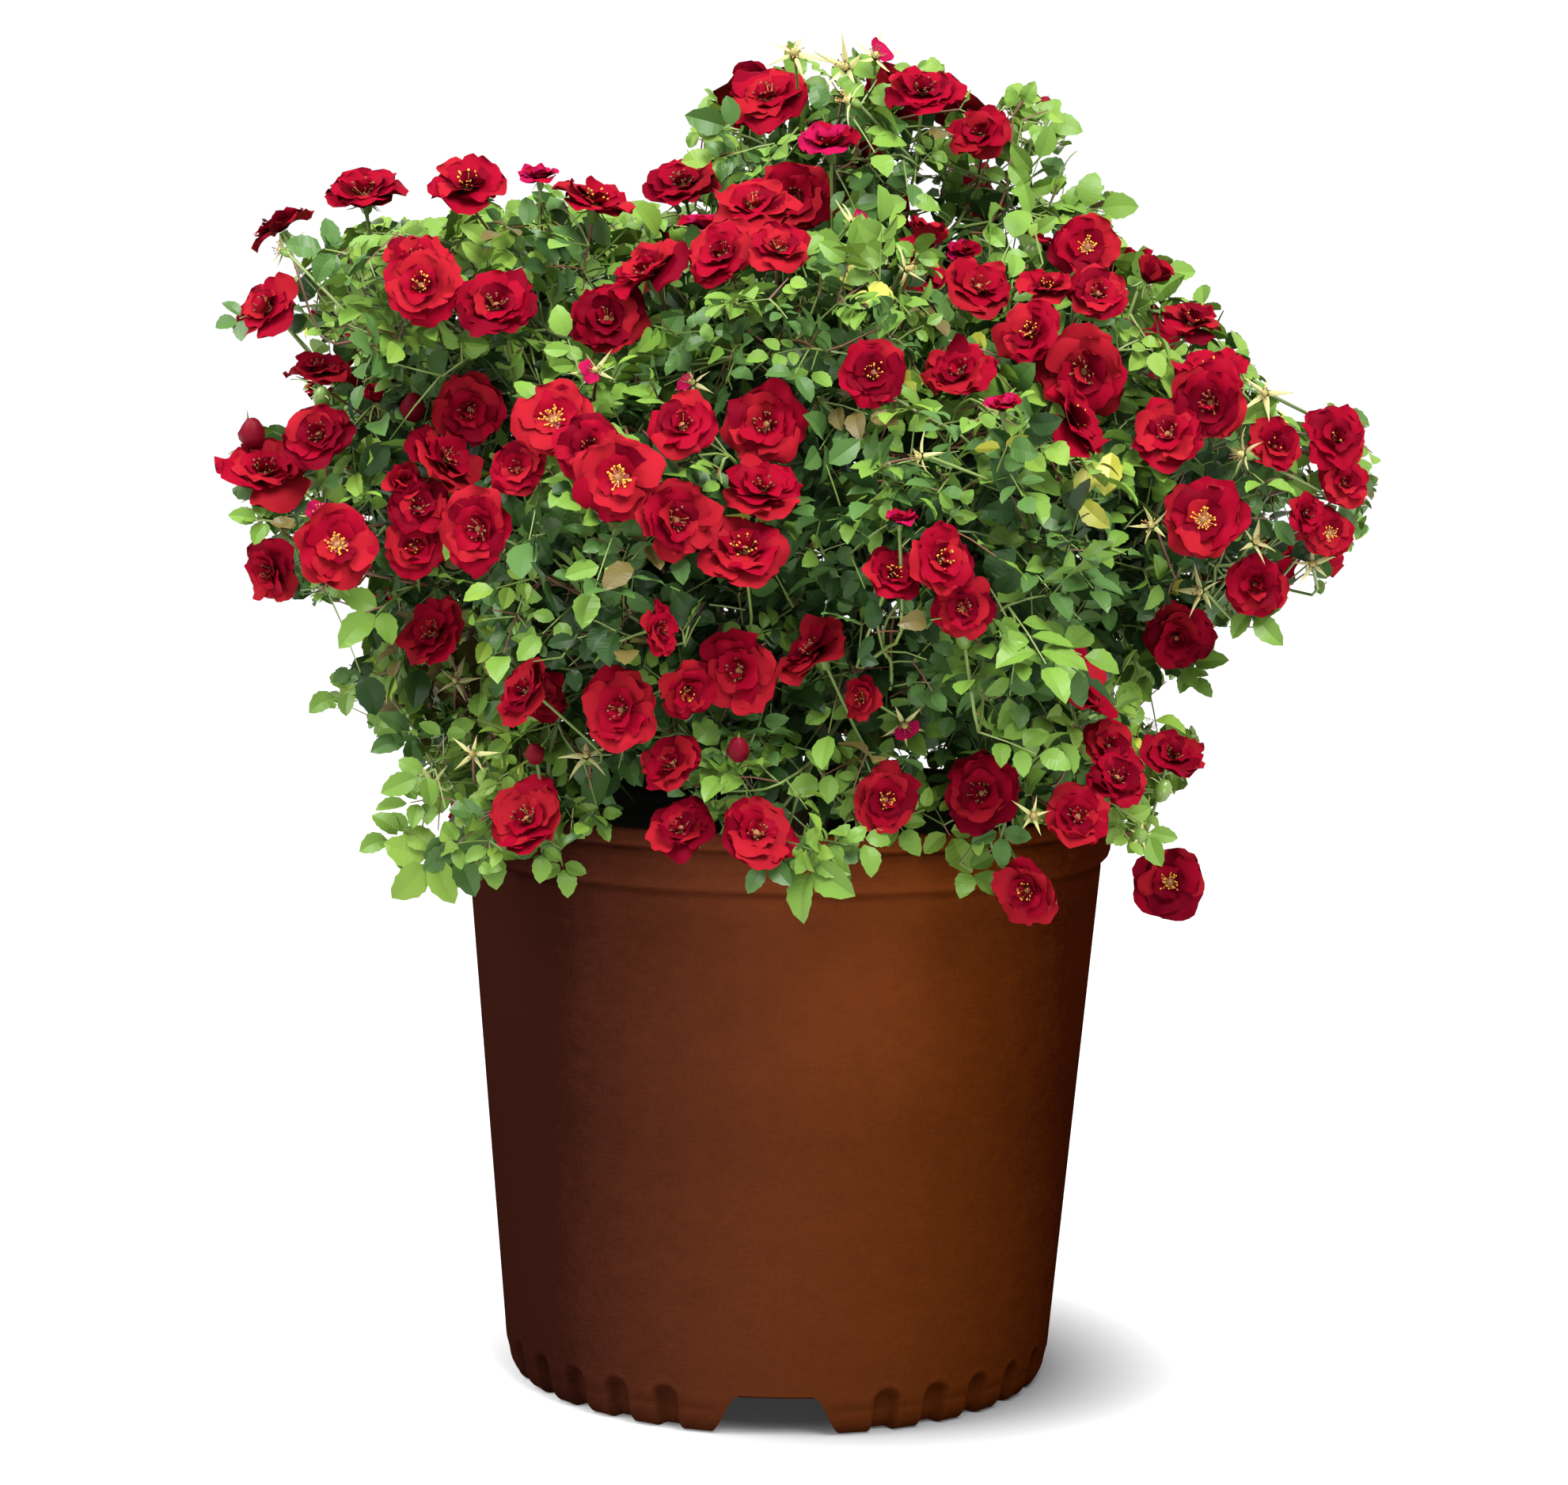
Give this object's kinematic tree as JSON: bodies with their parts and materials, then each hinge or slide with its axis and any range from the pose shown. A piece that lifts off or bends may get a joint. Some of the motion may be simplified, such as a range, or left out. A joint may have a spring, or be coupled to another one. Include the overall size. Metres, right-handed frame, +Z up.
{
  "type": "potted rose bush",
  "caption": "Bushy groundcover rose with small red double flowers, spreading over the rim of the round brown plastic nursery pot that it grows in.",
  "frame": {"origin": "centre of the pot's foot, on the ground", "axes": "+Z up along the pot's axis, -Y towards the front of the plant, +X to its right"},
  "size_m": [0.4815, 0.4353, 0.568],
  "materials": {
    "brown_plastic": "satin, fine grained",
    "potting_soil": "rough, loose",
    "bark": "matte, green to brown bark",
    "foliage": "matte leaves"
  },
  "bodies": {
    "root": {"cane_flank_back_left": "bark", "cane_flank_back_right": "bark", "cane_flank_front_left": "bark", "cane_flank_front_right": "bark", "cane_flank_left_back": "bark", "cane_flank_left_front": "bark", "cane_flank_right_back": "bark", "cane_flank_right_front": "bark", "cane_leader": "bark", "cane_shoulder_back": "bark", "cane_shoulder_back_left": "bark", "cane_shoulder_back_right": "bark", "cane_shoulder_front": "bark", "cane_shoulder_front_left": "bark", "cane_shoulder_front_right": "bark", "crest_left": "foliage", "crest_peak": "foliage", "crest_right": "foliage", "crest_saddle": "foliage", "flank_back_left": "foliage", "flank_back_right": "foliage", "flank_front_left": "foliage", "flank_front_right": "foliage", "flank_left_back": "foliage", "flank_left_front": "foliage", "flank_right_back": "foliage", "flank_right_front": "foliage", "pot": "brown_plastic", "shoulder_back": "foliage", "shoulder_back_left": "foliage", "shoulder_back_right": "foliage", "shoulder_front": "foliage", "shoulder_front_left": "foliage", "shoulder_front_right": "foliage", "skirt_back": "foliage", "skirt_back_left": "foliage", "skirt_back_right": "foliage", "skirt_front": "foliage", "skirt_front_left": "foliage", "skirt_front_right": "foliage", "skirt_left": "foliage", "skirt_right": "foliage", "soil": "potting_soil", "stem_base": "bark"}
  },
  "joints": []
}
